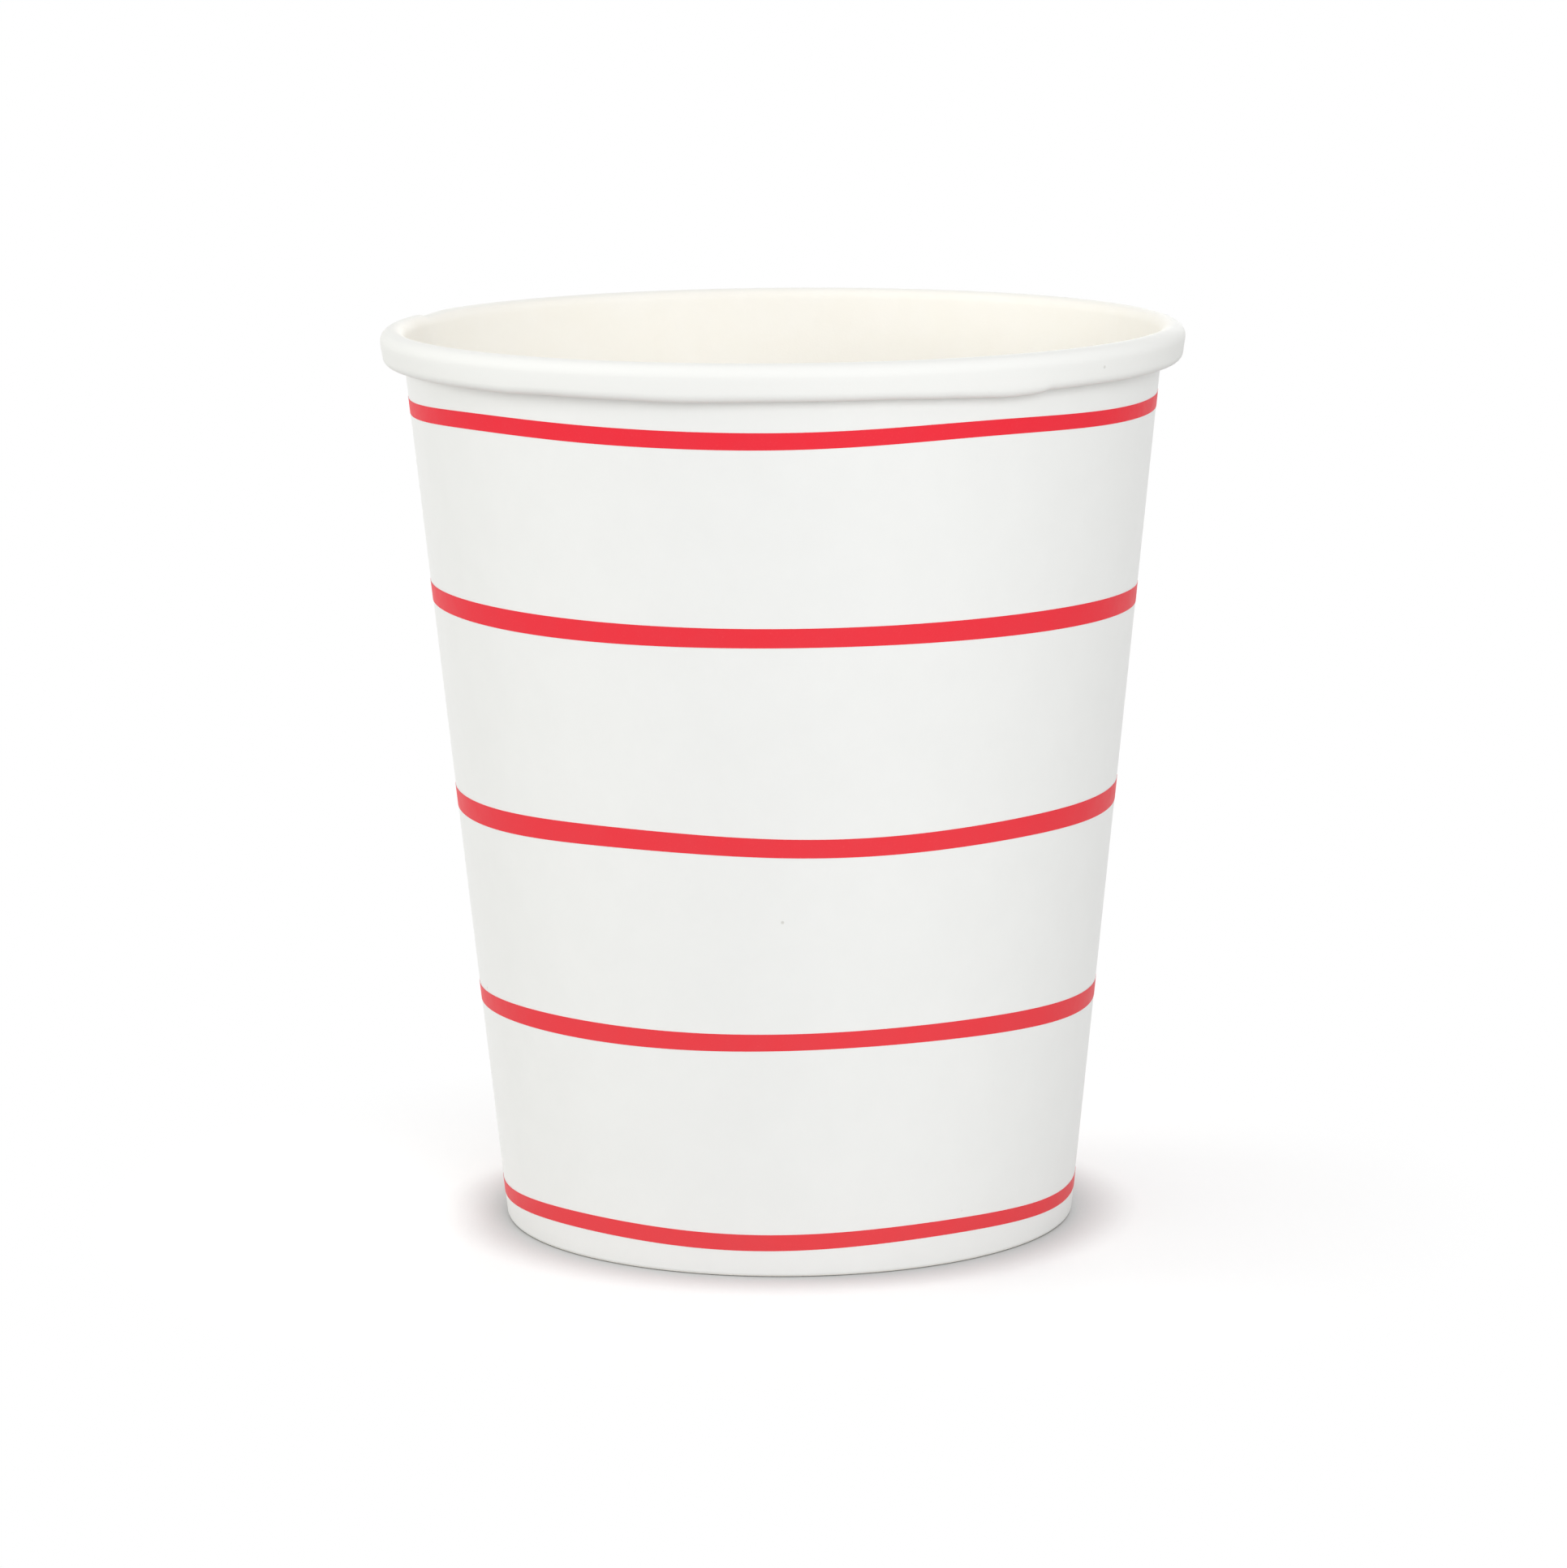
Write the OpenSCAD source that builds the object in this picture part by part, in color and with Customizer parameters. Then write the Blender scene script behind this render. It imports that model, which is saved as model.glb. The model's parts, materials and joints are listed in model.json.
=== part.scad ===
// Paper cup with five printed stripes. The wall is one board blank, wrapped and glued along an overlap.
// Its upper edge is rolled outwards into the rim and its lower edge is turned in and up round the
// skirt of the bottom disc. Millimetres, +Z up. The cup stands on z = 0 round the Z axis, front to -Y.

/* [Cup] */
// Height from the table to the top of the rolled rim
cup_height = 88; // [60:1:130]
// Outer diameter of the rolled rim
rim_diameter = 78; // [70:1:96]
// Diameter of the wall's outer face, carried down to the table
base_diameter = 56; // [44:1:64]

/* [Paperboard] */
// Thickness of the wall's board
wall_board = 0.3; // [0.2:0.05:0.5]
// Thickness of the bottom disc's board
bottom_board = 0.3; // [0.2:0.05:0.5]
// Glue film between the disc's skirt and the board on each side of it
glue_film = 0.05; // [0.02:0.01:0.1]

/* [Rolled rim] */
// Width of the roll, across the wall
roll_width = 2.4; // [2.2:0.1:3.2]
// Height of the roll, along the wall
roll_height = 3.8; // [3.4:0.1:5]
// Length of the cut edge tucked up inside the roll
roll_tuck = 0.8; // [0.3:0.1:1.2]
// Gap between the tucked edge and the wall
tuck_gap = 0.12; // [0.05:0.01:0.3]

/* [Side seam] */
// Direction of the outer end's cut edge, seen from above, from +X towards +Y
seam_azimuth = 174; // [0:1:359]
// Width of the glued overlap
seam_overlap = 7; // [5:0.5:10]
// Width over which the outer end climbs over the inner one
seam_ramp = 6; // [4:0.5:10]

/* [Bottom] */
// Depth to which the foot's fold is pressed flat where it stands on the table
foot_press = 0.05; // [0.02:0.01:0.1]
// Height of the disc's underside above the table
bottom_recess = 8; // [6:0.5:14]
// Inner radius of the bend between the disc and its skirt
skirt_bend = 0.4; // [0.2:0.1:1]
// Room between the skirt's cut edge and the turn of the foot
skirt_room = 0.3; // [0.1:0.1:1]
// Room between the hem's cut edge and the disc
hem_room = 1.5; // [1:0.5:3]

/* [Printed stripes] */
// Height of the lowest stripe's middle above the table
foot_stripe_height = 3.5; // [2:0.1:8]
// Depth of the highest stripe's middle below the top of the rim
rim_stripe_depth = 7.1; // [6.5:0.1:14]
// Width of the lowest and the highest stripe
stripe_width = 1.55; // [0.8:0.05:3]
// Extra width of the middle stripe
stripe_swell = 0.4; // [0:0.05:1]
// Width that each stripe gains and loses on its way round
stripe_flutter = 0.12; // [0:0.02:0.3]
// Number of times that it does so in one turn
flutter_cycles = 2.8; // [1:0.1:8]
// Thickness of the ink film
ink_film = 0.04; // [0.02:0.01:0.1]
// Air between the ink film and the wall
ink_lift = 0.01; // [0.01:0.01:0.05]

/* [Hidden] */
// Facets of a full turn, and of a small bend
$fn = 120;
bend_facets = 32;

// Each stripe from the foot up: its shift from even spacing (mm), then its long and its short wave.
// A wave has its waver to each side (mm), its cycles in one turn, and the azimuth of a low point,
// in degrees to the right of the front
stripes = [
    [0, [0.15, 2.5, 68], [0.26, 4.5, -7]],
    [0.2, [0.3, 2, -88], [0.17, 4, -13]],
    [0.1, [0.19, 3, 18], [0.12, 5.5, 7]],
    [0.65, [0.35, 1.5, 73], [0.24, 2.5, -26]],
    [0, [0.24, 4.5, -7], [0.03, 8.5, 8]]
];
stripe_count = len(stripes);
front = -90;

// The wall leans so that its outer face starts at the foot and runs into the roll
base_radius = base_diameter / 2;
roll_radius = roll_width / 2;
roll_reach = [rim_diameter / 2 - roll_radius - base_radius, cup_height - roll_radius];
roll_offset = roll_radius - wall_board;
lean = atan2(roll_reach[0], roll_reach[1]) - asin(roll_offset / norm(roll_reach));

// Places along the wall, measured up its outer face, to a whole micron so that neighbours share them
roll_along = micron(sqrt(pow(norm(roll_reach), 2) - pow(roll_offset, 2)));
tuck_radius = micron((roll_width - wall_board - tuck_gap) / 2);
tuck_along = micron(roll_along - (roll_height - roll_radius - tuck_radius));
pocket = bottom_board + 2 * glue_film;
fold_middle = -wall_board - pocket / 2;
fold_along = micron(along(fold_middle, pocket / 2 + wall_board - foot_press));
hem_end = micron(along(fold_middle - pocket / 2, bottom_recess - hem_room));
bend_middle = -wall_board - glue_film - bottom_board - skirt_bend;
bend_along = micron(along(bend_middle, bottom_recess - skirt_bend));
skirt_length = micron(bend_along - fold_along - skirt_room);
disc_radius = micron(base_radius + bend_middle * cos(lean) + bend_along * sin(lean));

// The overlap: the outer end lies one board further out, after a ramp that is turned off centre
mean_turn = PI * (rim_diameter + base_diameter) / 2;
overlap_angle = 360 * seam_overlap / mean_turn;
ramp_angle = 360 * seam_ramp / mean_turn;
overlap_start = seam_azimuth - overlap_angle;
ramp_start = overlap_start - ramp_angle;
flap_rise = wall_board / cos(lean);
ramp_shift = flap_rise / sin(ramp_angle);
ramp_swell = 2 * pow(ramp_shift, 2) / (rim_diameter + base_diameter);
flap_seat = wall_board / 2;
cut_depth = roll_radius;

// The ink runs from the outer end's cut edge once round the wall, then up the ramp and over the overlap
wall_steps = 64;
seam_steps = 3;
wall_arc = 360 - overlap_angle - ramp_angle;
ink_azimuths = concat(
    [for (i = [0 : wall_steps - 1]) seam_azimuth - 360 + wall_arc * i / wall_steps],
    [for (i = [0 : seam_steps - 1]) ramp_start + ramp_angle * i / seam_steps],
    [for (i = [0 : seam_steps]) overlap_start + overlap_angle * i / seam_steps]
);
ink_stations = len(ink_azimuths);
chord_allowance = 1 / cos(wall_arc / wall_steps / 2);

function micron(length) = round(length * 1000) / 1000;

// Distance up the wall of the point at height z that lies x outside the wall's outer face
function along(x, z) = (z + x * sin(lean)) / cos(lean);

// Radius of the wall's outer face at height z
function wall_radius(z) = base_radius + z * tan(lean);

// How far the outer end of the blank stands out at an azimuth
function seam_rise(azimuth) =
    azimuth <= ramp_start ? 0 :
    azimuth >= overlap_start ? flap_rise :
    flap_rise * sin(azimuth - ramp_start) / sin(ramp_angle);

function stripe_middle(i) =
    let (rim_stripe_height = cup_height - rim_stripe_depth)
    foot_stripe_height + (rim_stripe_height - foot_stripe_height) * i / (stripe_count - 1) + stripes[i][0];

// Rise or fall of a stripe by one of its waves
function waver(wave, turn) = -wave[0] * cos(wave[1] * (turn - wave[2]));

// Height of a stripe's edge; side is -1 for the lower edge and 1 for the upper
function stripe_edge(i, azimuth, side) =
    let (
        turn = azimuth - front,
        middle = stripe_middle(i) + waver(stripes[i][1], turn) + waver(stripes[i][2], turn),
        swell = stripe_swell * sin(180 * i / (stripe_count - 1)),
        flutter = -stripe_flutter * cos(flutter_cycles * turn)
    )
    middle + side * (stripe_width + swell + flutter) / 2;

// A point of the ink film on edge side of stripe i, lift outside the wall
function ink_point(i, azimuth, side, lift) =
    let (
        z = stripe_edge(i, azimuth, side),
        r = (wall_radius(z) + lift) * chord_allowance + seam_rise(azimuth)
    )
    [r * cos(azimuth), r * sin(azimuth), z];

// Section frame of the wall: X points out of its outer face and Y runs up along it
module on_wall() {
    translate([base_radius, 0])
        rotate(-lean)
            children();
}

// Straight stretch of board, from x outwards and from one place along the wall to another
module strip(x, from, to, board) {
    translate([x, from])
        square([board, to - from]);
}

// Board bent round a middle point, between two directions up to 180 degrees apart
module bend(middle, inner, board, from, to) {
    outer = inner + board;
    cuts = 4;
    translate(middle)
        intersection() {
            difference() {
                circle(r = outer, $fn = bend_facets);
                circle(r = inner, $fn = bend_facets);
            }
            polygon(concat(
                [[0, 0]],
                [for (i = [0 : cuts]) 2 * outer * [
                    cos(from + (to - from) * i / cuts),
                    sin(from + (to - from) * i / cuts)
                ]]
            ));
        }
}

// The turned foot: the wall's lower edge goes in and up round the skirt of the bottom disc
module foot_section() {
    bend([fold_middle, fold_along], pocket / 2, wall_board, 180, 360);
    strip(fold_middle - pocket / 2 - wall_board, fold_along, hem_end, wall_board);
}

// The rolled rim: over the top, down the outside and back up inside, clear of the wall
module rim_section() {
    bend([roll_offset, roll_along], roll_radius - wall_board, wall_board, 0, 180);
    strip(roll_width - 2 * wall_board, tuck_along, roll_along, wall_board);
    bend([tuck_gap + tuck_radius, tuck_along], tuck_radius - wall_board, wall_board, 180, 360);
    strip(tuck_gap, tuck_along, tuck_along + roll_tuck, wall_board);
}

// The whole blank in section, flat where it stands
module wall_section() {
    intersection() {
        on_wall() {
            foot_section();
            strip(-wall_board, fold_along, roll_along, wall_board);
            rim_section();
        }
        square([rim_diameter, 2 * cup_height]);
    }
}

// Turns a section off centre through the ramp, so that it stands one board further out at the overlap
module ramp_turn() {
    side = 2 * rim_diameter;
    intersection() {
        linear_extrude(height = cup_height)
            polygon([
                [0, 0],
                [side * cos(ramp_start), side * sin(ramp_start)],
                [side * cos(overlap_start), side * sin(overlap_start)]
            ]);
        translate([-ramp_shift * sin(ramp_start), ramp_shift * cos(ramp_start), 0])
            rotate_extrude()
                translate([ramp_swell, 0])
                    children();
    }
}

// The wall blank. Its outer end is notched above the foot and ends inside the roll
module side_wall() {
    color("#f3f2ed")
        difference() {
            union() {
                rotate_extrude()
                    wall_section();
                rotate_extrude(start = overlap_start, angle = overlap_angle)
                    translate([flap_rise, 0])
                        on_wall()
                            strip(-wall_board - flap_seat, fold_along, tuck_along, wall_board + flap_seat);
                ramp_turn()
                    on_wall()
                        strip(-wall_board, fold_along, tuck_along, wall_board);
            }
            ramp_turn()
                on_wall()
                    strip(-wall_board - cut_depth, bend_along, roll_along, cut_depth);
        }
}

// The bottom: a flat disc whose skirt is held between the wall and the hem.
// The skirt and the disc each bring more than half of the bend between them
module bottom_disc() {
    bend_share = 60;
    color("#f4efe2")
        rotate_extrude() {
            translate([0, bottom_recess])
                square([disc_radius, bottom_board]);
            translate([disc_radius, bottom_recess - skirt_bend]) {
                rotate(-lean) {
                    strip(skirt_bend, -skirt_length, 0, bottom_board);
                    bend([0, 0], skirt_bend, bottom_board, 0, bend_share);
                }
                bend([0, 0], skirt_bend, bottom_board, 90 - bend_share, 90);
            }
        }
}

// One stripe of ink, a thin band that follows the wall and wavers like a line drawn by hand
module stripe(i) {
    inner = ink_lift;
    outer = ink_lift + ink_film;
    corners = [[-1, inner], [-1, outer], [1, outer], [1, inner]];
    sides = len(corners);
    points = [for (azimuth = ink_azimuths, c = corners) ink_point(i, azimuth, c[0], c[1])];
    skin = [for (s = [0 : ink_stations - 2], c = [0 : sides - 1])
        let (d = (c + 1) % sides)
        [s * sides + c, s * sides + d, (s + 1) * sides + d, (s + 1) * sides + c]];
    last = (ink_stations - 1) * sides;
    ends = [[3, 2, 1, 0], [last, last + 1, last + 2, last + 3]];
    polyhedron(points, concat(skin, ends));
}

module printed_stripes() {
    color("#e83a42")
        for (i = [0 : stripe_count - 1])
            stripe(i);
}

side_wall();
bottom_disc();
printed_stripes();
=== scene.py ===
import json
import math

import bpy
from mathutils import Matrix, Vector

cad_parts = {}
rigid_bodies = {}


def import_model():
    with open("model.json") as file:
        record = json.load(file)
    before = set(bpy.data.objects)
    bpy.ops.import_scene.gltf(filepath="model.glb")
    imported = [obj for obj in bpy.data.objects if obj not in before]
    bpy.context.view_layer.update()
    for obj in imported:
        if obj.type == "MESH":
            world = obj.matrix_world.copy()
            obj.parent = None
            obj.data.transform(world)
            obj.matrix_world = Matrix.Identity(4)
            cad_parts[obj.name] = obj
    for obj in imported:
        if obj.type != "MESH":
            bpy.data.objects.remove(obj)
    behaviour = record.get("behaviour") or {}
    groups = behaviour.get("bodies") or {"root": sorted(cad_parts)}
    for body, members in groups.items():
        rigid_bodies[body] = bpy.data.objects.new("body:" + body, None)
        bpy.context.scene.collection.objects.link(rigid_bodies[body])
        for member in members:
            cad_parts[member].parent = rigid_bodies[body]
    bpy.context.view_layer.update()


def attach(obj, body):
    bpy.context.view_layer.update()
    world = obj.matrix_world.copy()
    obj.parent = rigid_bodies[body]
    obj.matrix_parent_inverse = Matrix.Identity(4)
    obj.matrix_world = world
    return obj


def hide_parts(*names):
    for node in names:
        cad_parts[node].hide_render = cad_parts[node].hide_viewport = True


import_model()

# Sizes of the cup, in metres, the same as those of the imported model
MM = 0.001
CUP_HEIGHT = 88 * MM
RIM_RADIUS = 39 * MM
FOOT_RADIUS = 28 * MM
BOARD = 0.3 * MM
GLUE = 0.05 * MM
GLUE_LINE = 0.01 * MM
ROLL_WIDTH = 2.4 * MM
ROLL_HEIGHT = 3.8 * MM
ROLL_TUCK = 0.8 * MM
TUCK_GAP = 0.12 * MM
FOOT_PRESS = 0.05 * MM
BOTTOM_RECESS = 8 * MM
SKIRT_BEND = 0.4 * MM
SKIRT_ROOM = 0.3 * MM
HEM_ROOM = 1.5 * MM

# Azimuths and lengths round the cup, in degrees
FRONT = -90
SEAM_AT = 174
OVERLAP = 11.97
RAMP = 10.26

# The wall leans, and places on it are measured out of its outer face and up along it
ROLL_RADIUS = ROLL_WIDTH / 2
ROLL_OFFSET = ROLL_RADIUS - BOARD
REACH = (RIM_RADIUS - ROLL_RADIUS - FOOT_RADIUS, CUP_HEIGHT - ROLL_RADIUS)
LEAN = math.atan2(*REACH) - math.asin(ROLL_OFFSET / math.hypot(*REACH))
ROLL_ALONG = math.sqrt(math.hypot(*REACH) ** 2 - ROLL_OFFSET**2)
TUCK_RADIUS = (ROLL_WIDTH - BOARD - TUCK_GAP) / 2
TUCK_ALONG = ROLL_ALONG - (ROLL_HEIGHT - ROLL_RADIUS - TUCK_RADIUS)
POCKET = BOARD + 2 * GLUE
FOLD_MIDDLE = -BOARD - POCKET / 2

# The roll is pinched: its lower curl is tighter than its top, and the sheet runs straight between
ROLL_HANG = 0.1 * MM
CURL_RADIUS = 0.68 * MM
CURL_OUT = TUCK_GAP + BOARD + CURL_RADIUS
CURL_ALONG = ROLL_ALONG + ROLL_RADIUS - ROLL_HEIGHT - ROLL_HANG + BOARD + CURL_RADIUS
CURL_AWAY = (ROLL_ALONG - CURL_ALONG, ROLL_OFFSET - CURL_OUT)
PINCH = math.acos((CURL_RADIUS - ROLL_OFFSET) / math.hypot(*CURL_AWAY)) - math.atan2(*CURL_AWAY)


def along(out, height):
    """How far up along the wall a place is that is out of its face, at a height."""
    return (height + out * math.sin(LEAN)) / math.cos(LEAN)


def on_wall(out, up):
    """The place out of the wall's outer face and up along it, in the plane of +X and Z."""
    return (
        FOOT_RADIUS + out * math.cos(LEAN) + up * math.sin(LEAN),
        0,
        up * math.cos(LEAN) - out * math.sin(LEAN),
    )


def off_wall(co):
    """How far a place, anywhere round the cup, is out of the wall's outer face and up along it."""
    radial = math.hypot(co.x, co.y) - FOOT_RADIUS
    return (
        radial * math.cos(LEAN) - co.z * math.sin(LEAN),
        radial * math.sin(LEAN) + co.z * math.cos(LEAN),
    )


def face_radius(out, height):
    """Radius of the cone that runs out of the wall's outer face, at a height."""
    return on_wall(out, along(out, height))[0]


def azimuth(co):
    return math.degrees(math.atan2(co.y, co.x))


def apart(a, b):
    """Angle between two azimuths, from -180 to 180 degrees."""
    return (a - b + 180) % 360 - 180


def ease(t):
    t = min(max(t, 0), 1)
    return t * t * (3 - 2 * t)


# Modelling helpers
SMOOTH_BELOW = 40
MERGE = 0.001 * MM


def deselect_all():
    for obj in bpy.context.view_layer.objects:
        obj.select_set(False)


def select_only(obj):
    deselect_all()
    obj.select_set(True)
    bpy.context.view_layer.objects.active = obj


def select_whole_mesh():
    bpy.ops.mesh.select_all(action="SELECT")


def start_profile(name, place):
    """A new object in edit mode, with a single vertex at place, the one that is left of a plane."""
    deselect_all()
    bpy.ops.mesh.primitive_plane_add(size=MM, location=(0, 0, 0))
    obj = bpy.context.active_object
    obj.name = obj.data.name = name
    bpy.ops.object.mode_set(mode="EDIT")
    pick(obj, lambda i, co: i > 0)
    bpy.ops.mesh.delete(type="VERT")
    select_whole_mesh()
    shift = [b - a for a, b in zip(selected_place(obj), place)]
    bpy.ops.transform.translate(value=shift)
    return obj


def pick(obj, wanted):
    """In edit mode, selects the vertices for which wanted(index, place) holds, and returns how many."""
    bpy.ops.mesh.select_mode(type="VERT")
    bpy.ops.mesh.select_all(action="DESELECT")
    bpy.ops.object.mode_set(mode="OBJECT")
    count = 0
    for v in obj.data.vertices:
        v.select = bool(wanted(v.index, v.co))
        count += v.select
    bpy.ops.object.mode_set(mode="EDIT")
    return count


def selected_place(obj):
    obj.update_from_editmode()
    return next(v.co.copy() for v in obj.data.vertices if v.select)


def half_count(obj):
    """Half the number of vertices. A spin adds its copies past the vertices that were there before."""
    obj.update_from_editmode()
    return len(obj.data.vertices) / 2


def run_to(obj, place, steps=1):
    """Extrudes the selected end of a profile to place, in equal steps."""
    step = [(b - a) / steps for a, b in zip(selected_place(obj), place)]
    for _ in range(steps):
        bpy.ops.mesh.extrude_region_move(TRANSFORM_OT_translate={"value": step})


def turn(middle, degrees, steps):
    """Spins the selected end of a profile round a middle, over the top and outwards if positive."""
    bpy.ops.mesh.spin(steps=steps, angle=-math.radians(degrees), center=middle, axis=(0, 1, 0))


def go_round(degrees, steps):
    """Spins what is selected round the cup's axis."""
    bpy.ops.mesh.spin(steps=steps, angle=-math.radians(degrees), center=(0, 0, 0), axis=(0, 0, 1))


def face_outwards(obj, above=0):
    """Turns all faces if those above a height look inwards on the whole."""
    obj.update_from_editmode()
    faces = [f for f in obj.data.polygons if f.center.z > above]
    if sum((f.normal.x * f.center.x + f.normal.y * f.center.y) * f.area for f in faces) < 0:
        select_whole_mesh()
        bpy.ops.mesh.flip_normals()


def turn_on_axis(obj, degrees):
    """Turns a whole piece round the cup's axis, in its mesh."""
    obj.rotation_euler.z = math.radians(degrees)
    select_only(obj)
    bpy.ops.object.transform_apply(location=True, rotation=True, scale=True)


def apply_modifier(obj, kind, **settings):
    modifier = obj.modifiers.new(kind.title(), kind)
    for key, value in settings.items():
        setattr(modifier, key, value)
    select_only(obj)
    bpy.ops.object.modifier_apply(modifier=modifier.name)


def lift_by_weights(obj, name, most, share):
    """Lifts each vertex by its share, from 0 to 1, of the most."""
    group = obj.vertex_groups.new(name=name)
    for v in obj.data.vertices:
        group.add([v.index], share(v.co), "REPLACE")
    apply_modifier(obj, "DISPLACE", direction="Z", vertex_group=name, strength=most, mid_level=0)


def smooth(obj):
    select_only(obj)
    bpy.ops.object.shade_smooth_by_angle(angle=math.radians(SMOOTH_BELOW))


def make_board(obj):
    """Gives a sheet the board's thickness, behind the face that was modelled."""
    apply_modifier(obj, "SOLIDIFY", thickness=BOARD, offset=-1, use_even_offset=True, use_rim=True)
    smooth(obj)


# Fold and hem at the foot
FOLD_ALONG = along(FOLD_MIDDLE, POCKET / 2 + BOARD - FOOT_PRESS)
HEM_OUT = FOLD_MIDDLE - POCKET / 2 - BOARD
HEM_END = along(FOLD_MIDDLE - POCKET / 2, BOTTOM_RECESS - HEM_ROOM)
HEM_STEPS = 3
FOLD_STEPS = 14
PRESSED = 0.005 * MM

# Wall and roll
WALL_STEPS = 24
NECK_STEPS = 2
ROLL_STEPS = 22
BACK_STEPS = 3
CURL_STEPS = 14
TUCK_STEPS = 3
ROUND_STEPS = 310

# Side seam, which starts a little above the fold
LAP_START = 1 * MM
FOOT_TOP = on_wall(0, FOLD_ALONG + LAP_START / 2)[2]
HEM_MARGIN = 0.2 * MM
CLEAR_OF_HEM = 10 * MM
RAMP_STEPS = 9
LAP_STEPS = 11
LAP_TOP = on_wall(BOARD, TUCK_ALONG)[2] + 0.05 * MM
LAP_NEAR = 0.15 * MM
COLUMN_DEGREES = 0.2


def above_foot(co):
    """Whether a place is above the fold and isn't on the hem."""
    return co.z > FOOT_TOP and math.hypot(co.x, co.y) > FOOT_RADIUS - HEM_MARGIN


def wall_profile():
    """The coated face of the sheet, from its edge inside the foot to its edge in the roll."""
    obj = start_profile("wall_sheet", on_wall(HEM_OUT, HEM_END))
    run_to(obj, on_wall(HEM_OUT, FOLD_ALONG), HEM_STEPS)
    turn(on_wall(FOLD_MIDDLE, FOLD_ALONG), -180, FOLD_STEPS)
    run_to(obj, on_wall(0, FOLD_ALONG + LAP_START))
    run_to(obj, on_wall(0, TUCK_ALONG), WALL_STEPS)
    run_to(obj, on_wall(0, ROLL_ALONG), NECK_STEPS)
    turn(on_wall(ROLL_OFFSET, ROLL_ALONG), 180 + math.degrees(PINCH), ROLL_STEPS)
    curl_start = (CURL_OUT + CURL_RADIUS * math.cos(PINCH), CURL_ALONG - CURL_RADIUS * math.sin(PINCH))
    run_to(obj, on_wall(*curl_start), BACK_STEPS)
    turn(on_wall(CURL_OUT, CURL_ALONG), 180 - math.degrees(PINCH), CURL_STEPS)
    run_to(obj, on_wall(TUCK_GAP + BOARD, TUCK_ALONG + ROLL_TUCK), TUCK_STEPS)

    # The fold is pressed flat where the cup stands
    if pick(obj, lambda i, co: co.z < 0):
        bpy.ops.transform.resize(value=(1, 1, 0), center_override=(0, 0, 0))
    select_whole_mesh()
    bpy.ops.mesh.remove_doubles(threshold=PRESSED)
    return obj


def lift_outer_end(obj):
    """The ramp: lifts the outer end of the sheet, roll and all, one board off the inner end."""
    for step in range(1, RAMP_STEPS + 1):
        here = 360 - RAMP + RAMP * step / RAMP_STEPS
        # The last column meets the inner end of the sheet, which isn't lifted
        after = half_count(obj) if step == RAMP_STEPS else -1
        pick(
            obj,
            lambda i, co: i > after
            and above_foot(co)
            and abs(apart(azimuth(co), here)) < COLUMN_DEGREES,
        )
        bpy.ops.transform.shrink_fatten(value=(BOARD + GLUE_LINE) * step / RAMP_STEPS)
    pick(obj, lambda i, co: not above_foot(co))
    bpy.ops.mesh.remove_doubles(threshold=MERGE)


def lap_outer_end(obj):
    """The lap: the outer end of the wall goes on over the inner one."""
    after = half_count(obj)
    pick(
        obj,
        lambda i, co: i > after
        and FOOT_TOP < co.z < LAP_TOP
        and abs(apart(azimuth(co), 0)) < 2 * COLUMN_DEGREES
        and abs(math.hypot(co.x, co.y) - face_radius(BOARD, co.z)) < LAP_NEAR,
    )
    go_round(OVERLAP, LAP_STEPS)


# Uneven lower edge of the roll, with a nick where the curl slipped
PAST_WALL = (BOARD + GLUE_LINE + TUCK_GAP + BOARD) / 2

# Degrees right of the front, and how far the edge is drawn up there, in millimetres
ROLL_DRAW = [
    (-180, 0.3), (-90, 0.39), (-66, 0.43), (-57, 0.4), (-50, 0.38), (-42, 0.34), (-36, 0.44),
    (-25, 0.38), (-15, 0.28), (0, 0.39), (14, 0.39), (24, 0.24), (28, 0.13), (33, 0), (38.4, 0.07),
    (39.4, 0.32), (48, 0.34), (58, 0.32), (66, 0.34), (90, 0.3), (180, 0.3),
]
MOST_DRAWN = max(draw for _, draw in ROLL_DRAW)


def roll_draw(at):
    right = apart(at, FRONT)
    for (a, first), (b, second) in zip(ROLL_DRAW, ROLL_DRAW[1:]):
        if a <= right <= b:
            return first + (second - first) * ease((right - a) / (b - a))


def draw_up_share(co):
    """Share of the most that a place on the roll is drawn up, fading to none at the roll's top."""
    out, up = off_wall(co)
    if up >= ROLL_ALONG or out <= PAST_WALL:
        return 0
    return ease((ROLL_ALONG - up) / (ROLL_ALONG - CURL_ALONG)) * roll_draw(azimuth(co)) / MOST_DRAWN


# Wall: one sheet, from the hem inside the foot, round the fold, up the wall and round the roll
def make_wall_sheet():
    obj = wall_profile()
    select_whole_mesh()
    go_round(360 - RAMP, ROUND_STEPS)
    go_round(RAMP, RAMP_STEPS)
    face_outwards(obj, CLEAR_OF_HEM)
    lift_outer_end(obj)
    lap_outer_end(obj)
    bpy.ops.object.mode_set(mode="OBJECT")
    turn_on_axis(obj, SEAM_AT - OVERLAP)
    lift_by_weights(obj, "drawn_up", MOST_DRAWN * MM, draw_up_share)
    make_board(obj)
    return obj


# Bottom: a flat disc with its skirt turned down between wall and hem
DISC_STEPS = 12
BEND_STEPS = 10
SKIRT_STEPS = 4
BOTTOM_ROUND_STEPS = 200


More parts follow.
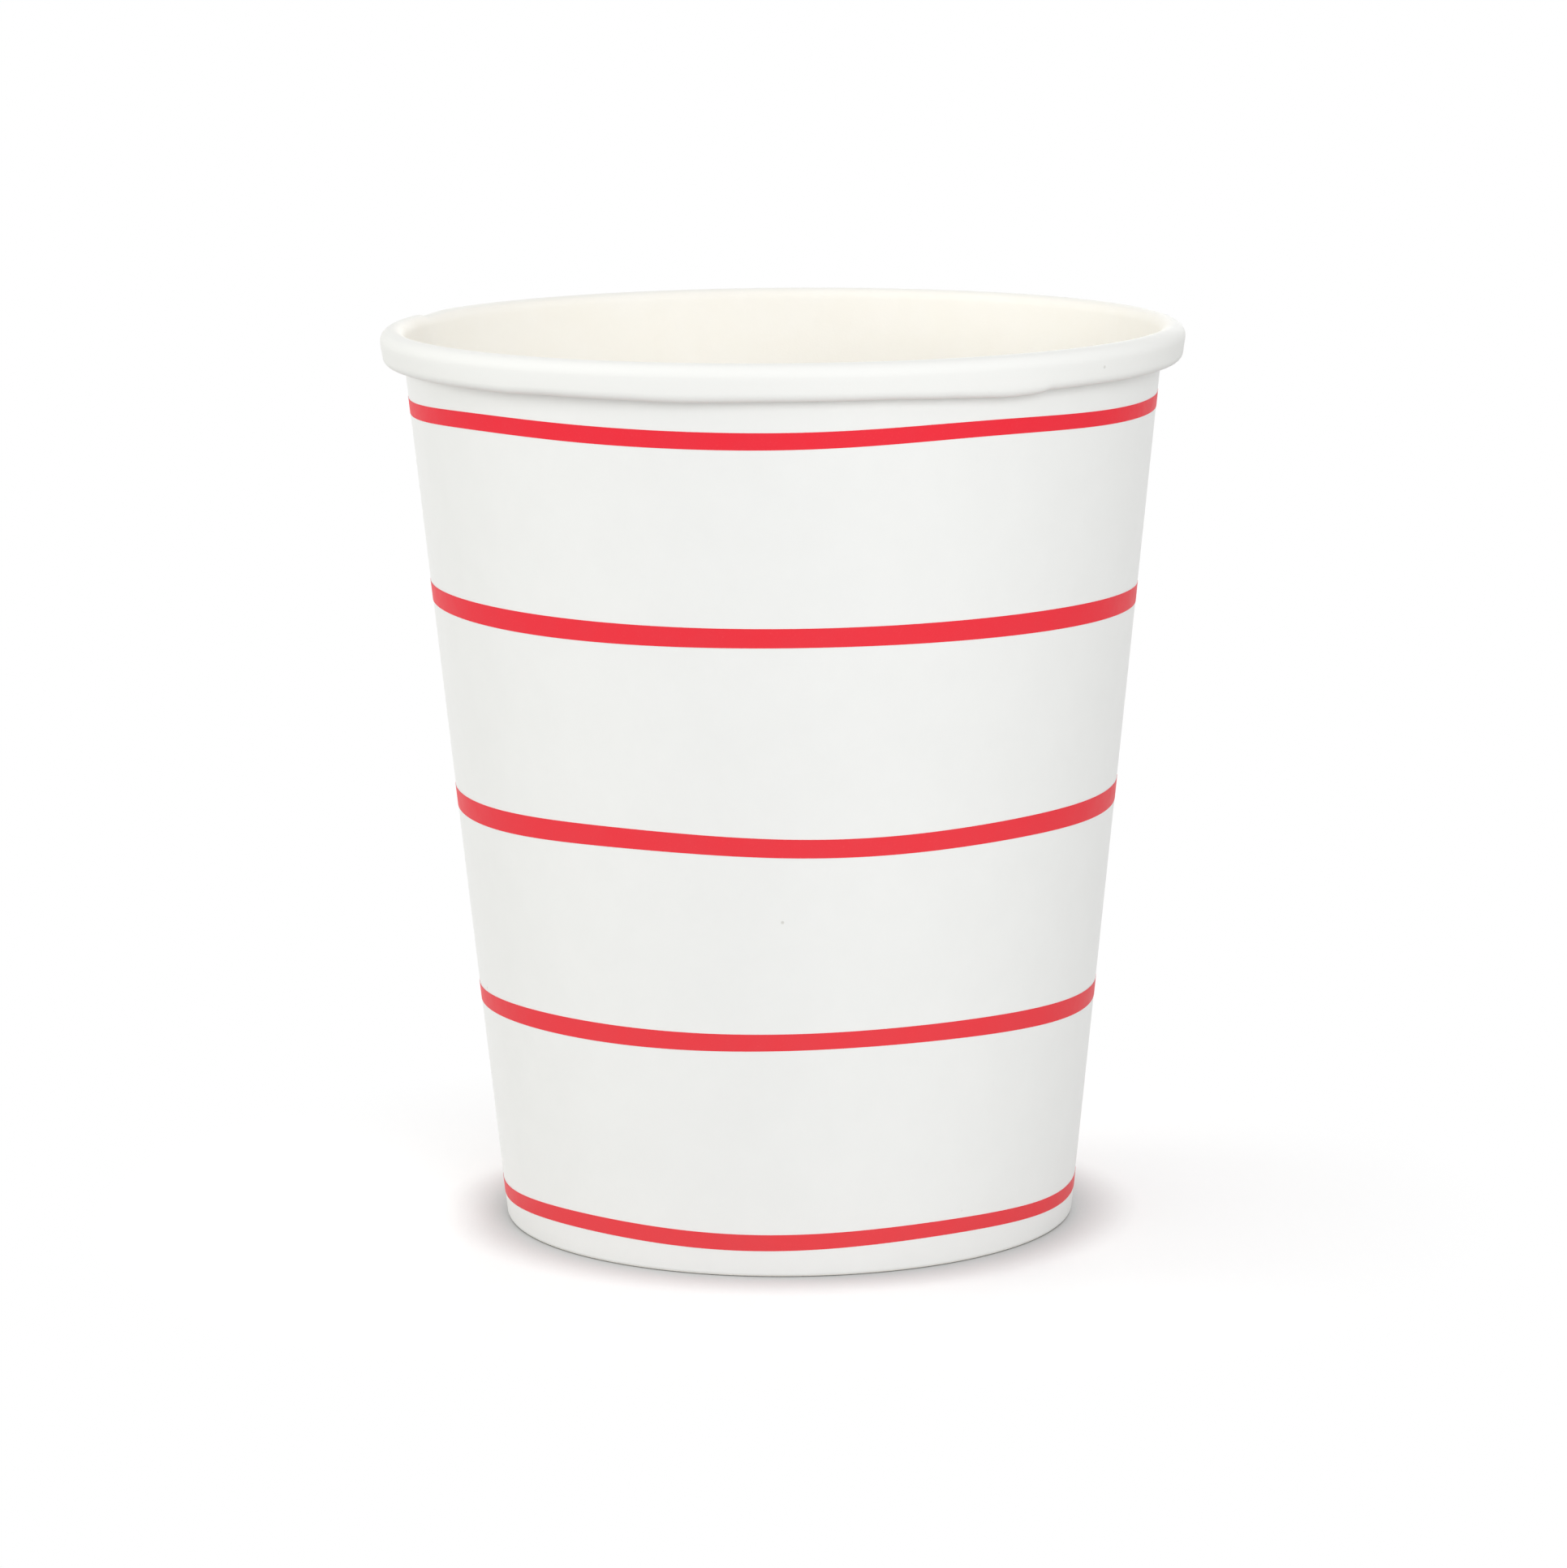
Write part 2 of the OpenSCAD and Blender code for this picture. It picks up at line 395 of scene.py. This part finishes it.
def make_bottom_sheet():
    bend_middle = -BOARD - GLUE - BOARD - SKIRT_BEND
    bend = on_wall(bend_middle, along(bend_middle, BOTTOM_RECESS - SKIRT_BEND))
    top = BOTTOM_RECESS + BOARD
    obj = start_profile("bottom_sheet", (0, 0, top))
    run_to(obj, (bend[0], 0, top), DISC_STEPS)
    turn(bend, 90 + math.degrees(LEAN), BEND_STEPS)
    run_to(obj, on_wall(-BOARD - GLUE, FOLD_ALONG + SKIRT_ROOM), SKIRT_STEPS)
    select_whole_mesh()
    go_round(360, BOTTOM_ROUND_STEPS)
    select_whole_mesh()
    bpy.ops.mesh.remove_doubles(threshold=MERGE)
    bpy.ops.mesh.normals_make_consistent(inside=False)
    obj.update_from_editmode()
    if sum(f.normal.z for f in obj.data.polygons) < 0:
        bpy.ops.mesh.flip_normals()
    bpy.ops.object.mode_set(mode="OBJECT")
    make_board(obj)
    return obj


# Ink: its bands start a little off the wall, end short of the seam and are pressed onto the wall
INK_START = 0.6 * MM
INK_SHORT = 0.1
INK_STEPS = 540
INK_LIFT = 0.012 * MM
INK_FILM = 0.02 * MM

# Middle height and width of each stripe in millimetres, a wave of its width and two of its height
STRIPES = [
    (3.52, 1.52, (0.11, 2.0, 65), (0.15, 2.5, 68), (0.26, 4.5, -7)),
    (23.11, 1.73, (0.11, 3.5, 7), (0.30, 2.0, -88), (0.17, 4.0, -13)),
    (42.36, 1.94, (0.15, 2.5, 8), (0.19, 3.0, 18), (0.12, 5.5, 7)),
    (62.22, 1.92, (0.10, 3.5, 1), (0.35, 1.5, 73), (0.24, 2.5, -26)),
    (80.90, 1.54, (0.10, 2.0, 61), (0.24, 4.5, -7), (0.03, 8.5, 8)),
]


def wave(shape, right):
    """A wave: its amplitude, its cycles in one turn, and how far right of the front it is lowest."""
    amplitude, cycles, low = shape
    return -amplitude * math.cos(math.radians(cycles * (right - low)))


def stripe_edge(stripe, at, side):
    """Height of a stripe's upper edge, or its lower one if side is -1, at an azimuth."""
    middle, width, flutter, *waves = stripe
    right = at - FRONT
    height = middle + sum(wave(w, right) for w in waves)
    return (height + side * (width + wave(flutter, right)) / 2) * MM


def make_ink(index, stripe, wall):
    start = SEAM_AT - 360 + INK_SHORT
    sweep = 360 - 2 * INK_SHORT
    stations = [start + sweep * k / INK_STEPS for k in range(INK_STEPS + 1)]
    lows = {side: min(stripe_edge(stripe, a, side) for a in stations) for side in (-1, 1)}
    travel = max(max(stripe_edge(stripe, a, s) for a in stations) - lows[s] for s in (-1, 1))
    obj = start_profile("ink_stripe_%d" % index, on_wall(INK_START, lows[-1] / math.cos(LEAN)))
    run_to(obj, on_wall(INK_START, lows[1] / math.cos(LEAN)))
    select_whole_mesh()
    go_round(sweep, INK_STEPS)
    face_outwards(obj)
    bpy.ops.object.mode_set(mode="OBJECT")
    turn_on_axis(obj, start)

    split = (lows[-1] + lows[1]) / 2

    def waver_share(co):
        side = 1 if co.z > split else -1
        at = start + (azimuth(co) - start) % 360
        return (stripe_edge(stripe, at, side) - lows[side]) / travel

    lift_by_weights(obj, "waver", travel, waver_share)
    apply_modifier(
        obj,
        "SHRINKWRAP",
        target=wall,
        wrap_method="PROJECT",
        use_negative_direction=True,
        use_positive_direction=False,
        offset=INK_LIFT,
    )
    apply_modifier(obj, "SOLIDIFY", thickness=INK_FILM, offset=1, use_rim=True)
    smooth(obj)
    return obj


# Helpers for finishes, whose patterns are in millimetres on Object coordinates
WHOLE = (0, 1)
NOISE_RANGE = (0.3, 0.7)
FIBRE_DEPTH = 0.05 * MM
WAVE_DEPTH = 0.5 * MM


def emptied_tree(owner):
    """The node tree of a new material or world, emptied."""
    owner.use_nodes = True
    owner.node_tree.nodes.clear()
    return owner.node_tree


def add(tree, kind, **settings):
    """A new node. A setting is a property or an input, and an input may be fed by another's output."""
    node = tree.nodes.new(kind)
    for key, value in settings.items():
        if key not in node.inputs:
            setattr(node, key, value)
        elif isinstance(value, bpy.types.NodeSocket):
            tree.links.new(value, node.inputs[key])
        else:
            node.inputs[key].default_value = value
    return node


def noise(tree, place, scale, detail, rough):
    node = add(tree, "ShaderNodeTexNoise", Vector=place, Scale=scale, Detail=detail, Roughness=rough)
    return node.outputs["Fac"]


def remap(tree, value, given, wanted):
    """Carries a value from a given range to the wanted one, and holds it there."""
    ends = {"From Min": given[0], "From Max": given[1], "To Min": wanted[0], "To Max": wanted[1]}
    return add(tree, "ShaderNodeMapRange", Value=value, **ends).outputs["Result"]


def blend(tree, factor, first, second):
    node = add(tree, "ShaderNodeMix", data_type="RGBA")
    sockets = [s for s in node.inputs if s.type == "RGBA"]
    for socket, colour in zip(sockets, (first, second)):
        if isinstance(colour, tuple):
            socket.default_value = (*colour, 1)
        else:
            tree.links.new(colour, socket)
    tree.links.new(factor, node.inputs[0])
    return next(s for s in node.outputs if s.type == "RGBA")


def relief(tree, height, strength, depth, **under):
    """A bump, on top of another one where that is given as Normal."""
    node = add(tree, "ShaderNodeBump", Height=height, Strength=strength, Distance=depth, **under)
    return node.outputs["Normal"]


def start_finish(name, sheen):
    """A new material with its shader, and places on the piece in millimetres."""
    material = bpy.data.materials.new(name)
    tree = emptied_tree(material)
    place = add(tree, "ShaderNodeTexCoord").outputs["Object"]
    mapping = add(tree, "ShaderNodeMapping", Vector=place, Scale=(1 / MM, 1 / MM, 1 / MM))
    shader = add(tree, "ShaderNodeBsdfPrincipled")
    shader.inputs["Specular IOR Level"].default_value = sheen
    add(tree, "ShaderNodeOutputMaterial", Surface=shader.outputs["BSDF"])
    return material, tree, mapping.outputs["Vector"], shader


def mottled_gloss(tree, mm, shader, gloss):
    """Roughness that varies within the given range, in patches of about a millimetre."""
    mottle = noise(tree, mm, scale=0.9, detail=3, rough=0.6)
    tree.links.new(remap(tree, mottle, NOISE_RANGE, gloss), shader.inputs["Roughness"])


def fibre_relief(tree, mm, shader, strength, **under):
    fibres = noise(tree, mm, scale=5, detail=4, rough=0.65)
    normal = relief(tree, fibres, strength, FIBRE_DEPTH, **under)
    tree.links.new(normal, shader.inputs["Normal"])


# Paperboard
FLECK_COLOUR = (0.5, 0.48, 0.43)
FLECKS_PER_MM = 0.1
FLECK_RADII = (0.012, 0.02)
ROLL_CREST = (RIM_RADIUS - ROLL_RADIUS) / MM
ROLL_FADE = (ROLL_CREST - 0.8, ROLL_CREST + 0.3)


def shade_painted_on_roll(tree, mm, tint, roll_shade_tint):
    """Round the roll, the board takes on a greyer tint, a painted shade that dims the roll's lit top.
    """
    level = add(tree, "ShaderNodeVectorMath", operation="MULTIPLY", Vector=mm)
    level.inputs[1].default_value = (1, 1, 0)
    radius = add(tree, "ShaderNodeVectorMath", operation="LENGTH", Vector=level.outputs[0])
    return blend(tree, remap(tree, radius.outputs["Value"], ROLL_FADE, WHOLE), tint, roll_shade_tint)


def board_finish(name, colour, shade, gloss, sheen, grain, swell, fleck, roll_shade_tint=None):
    """Clouded colour, sparse flecks, uneven gloss, and a relief of fibres and gentle waves."""
    material, tree, mm, shader = start_finish(name, sheen)
    clouds = noise(tree, mm, scale=0.22, detail=4, rough=0.6)
    tint = blend(tree, remap(tree, clouds, NOISE_RANGE, WHOLE), colour, shade)
    # Painted shade: the roll is greyed so that its lit top renders less bright
    if roll_shade_tint:
        tint = shade_painted_on_roll(tree, mm, tint, roll_shade_tint)
    cells = add(tree, "ShaderNodeTexVoronoi", Vector=mm, Scale=FLECKS_PER_MM)
    spots = remap(tree, cells.outputs["Distance"], FLECK_RADII, (fleck, 0))
    tint = blend(tree, spots, tint, FLECK_COLOUR)
    tree.links.new(tint, shader.inputs["Base Color"])
    mottled_gloss(tree, mm, shader, gloss)
    waves = noise(tree, mm, scale=0.12, detail=1, rough=0.5)
    fibre_relief(tree, mm, shader, grain, Normal=relief(tree, waves, swell, WAVE_DEPTH))
    return material


def ink_finish():
    """Red ink, a little clouded, paler towards the foot as a painted reflection, with fine pores that
    show the white.
    """
    material, tree, mm, shader = start_finish("red_ink", sheen=0.06)
    clouds = noise(tree, mm, scale=0.3, detail=3, rough=0.6)
    lay = remap(tree, clouds, NOISE_RANGE, WHOLE)
    # Painted reflection: the paler low tint, blended in towards the foot, stands in for the white floor
    # seen in the gloss
    high = blend(tree, lay, (0.88, 0.03, 0.05), (0.86, 0.034, 0.055))
    low = blend(tree, lay, (0.83, 0.064, 0.075), (0.81, 0.069, 0.08))
    axes = add(tree, "ShaderNodeSeparateXYZ", Vector=mm)
    height = remap(tree, axes.outputs["Z"], (0, CUP_HEIGHT / MM), WHOLE)
    tint = blend(tree, height, low, high)
    pores = remap(tree, noise(tree, mm, scale=6, detail=2, rough=0.5), (0.6, 0.8), (0, 0.3))
    tint = blend(tree, pores, tint, (0.9, 0.09, 0.1))
    tree.links.new(tint, shader.inputs["Base Color"])
    mottled_gloss(tree, mm, shader, (0.38, 0.46))
    fibre_relief(tree, mm, shader, 0.03)
    return material


# The coated face is the outside of the wall. The roll and the inside show the bare face of the board
COATED_NEAR = 0.45 * MM
COATED_FACING = 0.9
COATED_TOP = on_wall(0, TUCK_ALONG + ROLL_TUCK)[2]


def is_coated(face):
    c = face.center
    out = math.hypot(c.x, c.y)
    facing = (face.normal.x * c.x + face.normal.y * c.y) / max(out, MM)
    near = abs(out - face_radius(0, c.z)) < COATED_NEAR
    return near and facing > COATED_FACING and c.z < COATED_TOP


# The pieces
wall = make_wall_sheet()
bottom = make_bottom_sheet()
inks = [make_ink(i + 1, stripe, wall) for i, stripe in enumerate(STRIPES)]

coated = board_finish(
    "coated_board",
    colour=(0.88, 0.885, 0.865),
    shade=(0.865, 0.87, 0.85),
    gloss=(0.32, 0.4),
    sheen=0.22,
    grain=0.06,
    swell=0.02,
    fleck=0.5,
)
bare = board_finish(
    "bare_board",
    colour=(0.965, 0.945, 0.89),
    shade=(0.955, 0.93, 0.865),
    gloss=(0.6, 0.7),
    sheen=0.2,
    grain=0.25,
    swell=0.03,
    fleck=0.4,
    # Painted shade: a greyer tint for the roll, so that its lit top renders less bright
    roll_shade_tint=(0.895, 0.897, 0.87),
)
lined = board_finish(
    "bottom_board",
    colour=(0.91, 0.895, 0.845),
    shade=(0.89, 0.87, 0.81),
    gloss=(0.45, 0.55),
    sheen=0.4,
    grain=0.3,
    swell=0.05,
    fleck=0.4,
)
red = ink_finish()

wall.data.materials.append(bare)
wall.data.materials.append(coated)
for face in wall.data.polygons:
    face.material_index = int(is_coated(face))
bottom.data.materials.append(lined)
for ink in inks:
    ink.data.materials.append(red)

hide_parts("side_wall")
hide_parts("bottom_disc")
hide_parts("printed_stripes")
for piece in [wall, bottom, *inks]:
    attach(piece, "root")


# Helpers for the surroundings
def seen_rays(tree):
    """1 on rays that show the surroundings themselves, in view or in a reflection, and 0 on others."""
    paths = add(tree, "ShaderNodeLightPath")
    seen = paths.outputs["Is Camera Ray"]
    for kind in ("Is Glossy Ray", "Is Transmission Ray"):
        either = add(tree, "ShaderNodeMath", operation="MAXIMUM")
        tree.links.new(seen, either.inputs[0])
        tree.links.new(paths.outputs[kind], either.inputs[1])
        seen = either.outputs[0]
    return seen


def mix_shaders(tree, factor, first, second):
    node = add(tree, "ShaderNodeMixShader")
    for socket, source in zip(node.inputs, (factor, first, second)):
        tree.links.new(source, socket)
    return node.outputs[0]


def matte(tree, value):
    return add(tree, "ShaderNodeBsdfDiffuse", Color=(value, value, value, 1)).outputs[0]


def glow(tree, kind, strength):
    return add(tree, kind, Color=(1, 1, 1, 1), Strength=strength).outputs[0]


# Floor
FLOOR_SIZE = 4
FLOOR_DROP = 0.02 * MM
SHADOW_REACH = 35 * MM
CONTACT_REACH = 7 * MM
LIT_GLOW = 0.17
LIT_MATTE = 0.9
PAINTED_CONTACT_SHADE = 0.2
UNSEEN_MATTE = 0.6


def floor_finish():
    """White paper that keeps the cup's shadow, with a painted shade darkest at the foot, and runs out
    to plain white.
    """
    material = bpy.data.materials.new("white_floor")
    tree = emptied_tree(material)
    place = add(tree, "ShaderNodeTexCoord").outputs["Object"]
    reach = add(tree, "ShaderNodeVectorMath", operation="LENGTH", Vector=place)
    far = remap(tree, reach.outputs["Value"], (SHADOW_REACH, 2 * SHADOW_REACH), WHOLE)
    # Painted shade: ambient occlusion mixes a darker matte into the floor near the foot
    contact = add(tree, "ShaderNodeAmbientOcclusion", Distance=CONTACT_REACH)
    lit = add(tree, "ShaderNodeAddShader")
    tree.links.new(glow(tree, "ShaderNodeEmission", LIT_GLOW), lit.inputs[0])
    tree.links.new(matte(tree, LIT_MATTE), lit.inputs[1])
    near = mix_shaders(tree, contact.outputs["AO"], matte(tree, PAINTED_CONTACT_SHADE), lit.outputs[0])
    shown = mix_shaders(tree, far, near, glow(tree, "ShaderNodeEmission", 1))
    surface = mix_shaders(tree, seen_rays(tree), matte(tree, UNSEEN_MATTE), shown)
    add(tree, "ShaderNodeOutputMaterial", Surface=surface)
    return material


deselect_all()
bpy.ops.mesh.primitive_plane_add(size=FLOOR_SIZE, location=(0, 0, -FLOOR_DROP))
floor = bpy.context.active_object
floor.name = "floor"
floor.data.materials.append(floor_finish())

# White surroundings, which light the cup less than they show
WORLD_LIGHT = 0.65


def studio_world():
    world = bpy.data.worlds.new("studio")
    tree = emptied_tree(world)
    light = glow(tree, "ShaderNodeBackground", WORLD_LIGHT)
    white = glow(tree, "ShaderNodeBackground", 1)
    surface = mix_shaders(tree, seen_rays(tree), light, white)
    add(tree, "ShaderNodeOutputWorld", Surface=surface)
    return world


bpy.context.scene.world = studio_world()

# Lamps
LAMP_AWAY = 1.0
LAMP_SIZE = 0.5


def lamp(name, right_of_front, elevation, strength, colour):
    """A soft disc aimed at the cup. A strength of 1 shows a white matte face turned to it as white."""
    at, up = math.radians(right_of_front + FRONT), math.radians(elevation)
    towards = Vector((math.cos(at) * math.cos(up), math.sin(at) * math.cos(up), math.sin(up)))
    place = towards * LAMP_AWAY
    deselect_all()
    bpy.ops.object.light_add(type="AREA", location=place + Vector((0, 0, CUP_HEIGHT / 2)))
    obj = bpy.context.active_object
    obj.name = name
    obj.data.shape = "DISK"
    obj.data.size = LAMP_SIZE
    obj.data.energy = strength * (math.pi * LAMP_AWAY) ** 2
    obj.data.color = colour
    obj.rotation_euler = (-place).to_track_quat("-Z", "Y").to_euler()


lamp("front", right_of_front=15, elevation=19, strength=0.44, colour=(0.985, 0.99, 1.0))
lamp("side", right_of_front=-95, elevation=15, strength=0.33, colour=(1.0, 1.0, 0.96))
lamp("back", right_of_front=170, elevation=15, strength=0.25, colour=(1.0, 1.0, 1.0))

# Camera: its place, its tilt up from straight down, its roll, and its sensor and lens in millimetres
CAMERA_AT = (-0.27 * MM, -573.6 * MM, 143.5 * MM)
CAMERA_TILT = 80.024
CAMERA_ROLL = -0.468
SENSOR = 36
LENS = 135.99

deselect_all()
bpy.ops.object.camera_add()
camera = bpy.context.active_object
camera.name = "view"
camera.data.sensor_fit = "VERTICAL"
camera.data.sensor_height = SENSOR
camera.data.lens = LENS
camera.data.clip_start = 0.01
camera.data.clip_end = 20
camera.matrix_world = (
    Matrix.Translation(CAMERA_AT)
    @ Matrix.Rotation(math.radians(CAMERA_TILT), 4, "X")
    @ Matrix.Rotation(math.radians(CAMERA_ROLL), 4, "Z")
)
bpy.context.scene.camera = camera
bpy.context.scene.view_settings.view_transform = "Standard"
